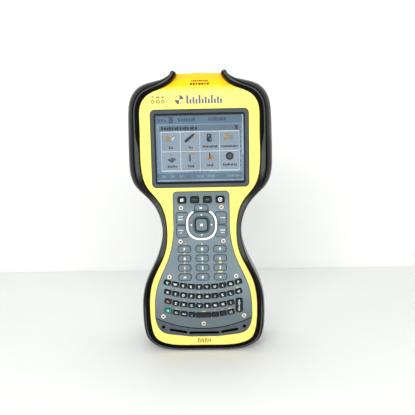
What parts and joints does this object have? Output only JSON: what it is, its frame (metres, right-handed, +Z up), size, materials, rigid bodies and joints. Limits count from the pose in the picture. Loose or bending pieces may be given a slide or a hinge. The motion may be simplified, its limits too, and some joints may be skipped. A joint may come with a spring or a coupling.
{
  "type": "survey data collector",
  "caption": "Rugged handheld survey data collector with a waisted yellow shell, rubber bumper, colour screen, navigation pad, number keys, small letter keyboard and rear hand strap.",
  "frame": {"origin": "middle of the bounding box at the base the handset stands on", "axes": "+Z up the handset, screen and keypad face -Y, hand strap on +Y"},
  "size_m": [0.1404, 0.095, 0.2774],
  "materials": {
    "yellow_shell": "fine moulded texture",
    "dark_shell": "fine moulded texture",
    "black_rubber": "matt",
    "panel_grey": "satin",
    "cover_grey": "satin",
    "key_black": "satin silicone",
    "key_grey": "satin silicone",
    "key_green": "satin silicone",
    "ring_white": "gloss",
    "pane_glass": "anti-glare",
    "display": "lit display",
    "light_lens": "clear",
    "circuit_green": "solder mask",
    "silicone_mat": "matt",
    "screw_steel": "plated",
    "connector_metal": "plated",
    "webbing": "padded nylon",
    "battery_case": "moulded",
    "camera_glass": "gloss"
  },
  "bodies": {
    "case": {"front_housing": "yellow_shell", "rear_housing": "dark_shell", "rubber_bumper": "black_rubber", "housing_gasket": "black_rubber", "screen_bezel": "panel_grey", "touch_glass": "pane_glass", "lcd_module": "display", "keypad_bezel": "panel_grey", "speaker_cover": "cover_grey", "nav_ring": "ring_white", "keypad_mat": "silicone_mat", "keypad_board": "circuit_green", "main_board": "circuit_green", "speakers": "dark_shell", "indicator_lights": "light_lens", "bezel_screws": "screw_steel", "case_screws": "screw_steel", "battery_pack": "battery_case", "antenna_cap": "yellow_shell", "antenna_board": "circuit_green", "camera_window": "camera_glass", "bottom_connectors": "connector_metal", "side_connectors": "connector_metal", "hand_strap": "webbing", "strap_anchors": "dark_shell"},
    "battery_door": {"battery_door": "dark_shell"},
    "battery_latch_left": {"battery_latch_left": "cover_grey"},
    "battery_latch_right": {"battery_latch_right": "cover_grey"},
    "port_cover": {"port_cover": "black_rubber"},
    "stylus": {"stylus": "dark_shell"},
    "home_key": {"home_key": "key_black"},
    "a_key": {"a_key": "key_black"},
    "b_key": {"b_key": "key_black"},
    "accept_key": {"accept_key": "key_black"},
    "tab_key": {"tab_key": "key_grey"},
    "centre_key": {"centre_key": "key_black"},
    "nav_pad": {"nav_pad": "key_grey"},
    "upper_left_key": {"upper_left_key": "key_grey"},
    "lower_left_key": {"lower_left_key": "key_grey"},
    "upper_right_key": {"upper_right_key": "key_grey"},
    "lower_right_key": {"lower_right_key": "key_grey"},
    "key_minus": {"key_minus": "key_grey"},
    "key_0": {"key_0": "key_grey"},
    "key_point": {"key_point": "key_grey"},
    "key_1": {"key_1": "key_grey"},
    "key_2": {"key_2": "key_grey"},
    "key_3": {"key_3": "key_grey"},
    "key_4": {"key_4": "key_grey"},
    "key_5": {"key_5": "key_grey"},
    "key_6": {"key_6": "key_grey"},
    "key_7": {"key_7": "key_grey"},
    "key_8": {"key_8": "key_grey"},
    "key_9": {"key_9": "key_grey"},
    "power_key": {"power_key": "key_green"},
    "enter_key": {"enter_key": "key_black"},
    "space_key": {"space_key": "key_black"},
    "letter_keys_upper_row": {"letter_keys_upper_row": "key_black"},
    "letter_keys_home_row": {"letter_keys_home_row": "key_black"},
    "letter_keys_lower_row": {"letter_keys_lower_row": "key_black"},
    "letter_keys_bottom_row": {"letter_keys_bottom_row": "key_black"}
  },
  "joints": [
    {"name": "battery_door_slide", "type": "slide", "parent": "case", "child": "battery_door", "axis": [0, 0, -1], "range_m": [0, 0.008]},
    {"name": "battery_latch_left_slide", "type": "slide", "parent": "battery_door", "child": "battery_latch_left", "axis": [1, 0, 0], "range_m": [0, 0.003], "stiffness_N_per_m": 300},
    {"name": "battery_latch_right_slide", "type": "slide", "parent": "battery_door", "child": "battery_latch_right", "axis": [-1, 0, 0], "range_m": [0, 0.003], "stiffness_N_per_m": 300},
    {"name": "port_cover_hinge", "type": "hinge", "parent": "case", "child": "port_cover", "pos_m": [-0.0614, 0.002, 0.042], "axis": [0, 0, -1], "range_deg": [0, 110]},
    {"name": "stylus_pull", "type": "slide", "parent": "case", "child": "stylus", "axis": [0, 0, 1], "range_m": [0, 0.1]},
    {"name": "nav_pad_rock", "type": "hinge", "parent": "case", "child": "nav_pad", "pos_m": [0, -0.0436, 0.1295], "axis": [1, 0, 0], "range_deg": [-2, 2], "stiffness_Nm_per_rad": 0.3},
    {"name": "home_key_press", "type": "slide", "parent": "case", "child": "home_key", "axis": [0, 1, 0], "range_m": [0, 0.0008], "stiffness_N_per_m": 900},
    {"name": "a_key_press", "type": "slide", "parent": "case", "child": "a_key", "axis": [0, 1, 0], "range_m": [0, 0.0008], "stiffness_N_per_m": 900},
    {"name": "b_key_press", "type": "slide", "parent": "case", "child": "b_key", "axis": [0, 1, 0], "range_m": [0, 0.0008], "stiffness_N_per_m": 900},
    {"name": "accept_key_press", "type": "slide", "parent": "case", "child": "accept_key", "axis": [0, 1, 0], "range_m": [0, 0.0008], "stiffness_N_per_m": 900},
    {"name": "tab_key_press", "type": "slide", "parent": "case", "child": "tab_key", "axis": [0, 1, 0], "range_m": [0, 0.0008], "stiffness_N_per_m": 900},
    {"name": "centre_key_press", "type": "slide", "parent": "case", "child": "centre_key", "axis": [0, 1, 0], "range_m": [0, 0.0008], "stiffness_N_per_m": 900},
    {"name": "upper_left_key_press", "type": "slide", "parent": "case", "child": "upper_left_key", "axis": [0, 1, 0], "range_m": [0, 0.0008], "stiffness_N_per_m": 900},
    {"name": "lower_left_key_press", "type": "slide", "parent": "case", "child": "lower_left_key", "axis": [0, 1, 0], "range_m": [0, 0.0008], "stiffness_N_per_m": 900},
    {"name": "upper_right_key_press", "type": "slide", "parent": "case", "child": "upper_right_key", "axis": [0, 1, 0], "range_m": [0, 0.0008], "stiffness_N_per_m": 900},
    {"name": "lower_right_key_press", "type": "slide", "parent": "case", "child": "lower_right_key", "axis": [0, 1, 0], "range_m": [0, 0.0008], "stiffness_N_per_m": 900},
    {"name": "key_minus_press", "type": "slide", "parent": "case", "child": "key_minus", "axis": [0, 1, 0], "range_m": [0, 0.0008], "stiffness_N_per_m": 900},
    {"name": "key_0_press", "type": "slide", "parent": "case", "child": "key_0", "axis": [0, 1, 0], "range_m": [0, 0.0008], "stiffness_N_per_m": 900},
    {"name": "key_point_press", "type": "slide", "parent": "case", "child": "key_point", "axis": [0, 1, 0], "range_m": [0, 0.0008], "stiffness_N_per_m": 900},
    {"name": "key_1_press", "type": "slide", "parent": "case", "child": "key_1", "axis": [0, 1, 0], "range_m": [0, 0.0008], "stiffness_N_per_m": 900},
    {"name": "key_2_press", "type": "slide", "parent": "case", "child": "key_2", "axis": [0, 1, 0], "range_m": [0, 0.0008], "stiffness_N_per_m": 900},
    {"name": "key_3_press", "type": "slide", "parent": "case", "child": "key_3", "axis": [0, 1, 0], "range_m": [0, 0.0008], "stiffness_N_per_m": 900},
    {"name": "key_4_press", "type": "slide", "parent": "case", "child": "key_4", "axis": [0, 1, 0], "range_m": [0, 0.0008], "stiffness_N_per_m": 900},
    {"name": "key_5_press", "type": "slide", "parent": "case", "child": "key_5", "axis": [0, 1, 0], "range_m": [0, 0.0008], "stiffness_N_per_m": 900},
    {"name": "key_6_press", "type": "slide", "parent": "case", "child": "key_6", "axis": [0, 1, 0], "range_m": [0, 0.0008], "stiffness_N_per_m": 900},
    {"name": "key_7_press", "type": "slide", "parent": "case", "child": "key_7", "axis": [0, 1, 0], "range_m": [0, 0.0008], "stiffness_N_per_m": 900},
    {"name": "key_8_press", "type": "slide", "parent": "case", "child": "key_8", "axis": [0, 1, 0], "range_m": [0, 0.0008], "stiffness_N_per_m": 900},
    {"name": "key_9_press", "type": "slide", "parent": "case", "child": "key_9", "axis": [0, 1, 0], "range_m": [0, 0.0008], "stiffness_N_per_m": 900},
    {"name": "power_key_press", "type": "slide", "parent": "case", "child": "power_key", "axis": [0, 1, 0], "range_m": [0, 0.0008], "stiffness_N_per_m": 900},
    {"name": "enter_key_press", "type": "slide", "parent": "case", "child": "enter_key", "axis": [0, 1, 0], "range_m": [0, 0.0008], "stiffness_N_per_m": 900},
    {"name": "space_key_press", "type": "slide", "parent": "case", "child": "space_key", "axis": [0, 1, 0], "range_m": [0, 0.0008], "stiffness_N_per_m": 900},
    {"name": "letter_keys_upper_row_press", "type": "slide", "parent": "case", "child": "letter_keys_upper_row", "axis": [0, 1, 0], "range_m": [0, 0.0008], "stiffness_N_per_m": 900},
    {"name": "letter_keys_home_row_press", "type": "slide", "parent": "case", "child": "letter_keys_home_row", "axis": [0, 1, 0], "range_m": [0, 0.0008], "stiffness_N_per_m": 900},
    {"name": "letter_keys_lower_row_press", "type": "slide", "parent": "case", "child": "letter_keys_lower_row", "axis": [0, 1, 0], "range_m": [0, 0.0008], "stiffness_N_per_m": 900},
    {"name": "letter_keys_bottom_row_press", "type": "slide", "parent": "case", "child": "letter_keys_bottom_row", "axis": [0, 1, 0], "range_m": [0, 0.0008], "stiffness_N_per_m": 900}
  ]
}
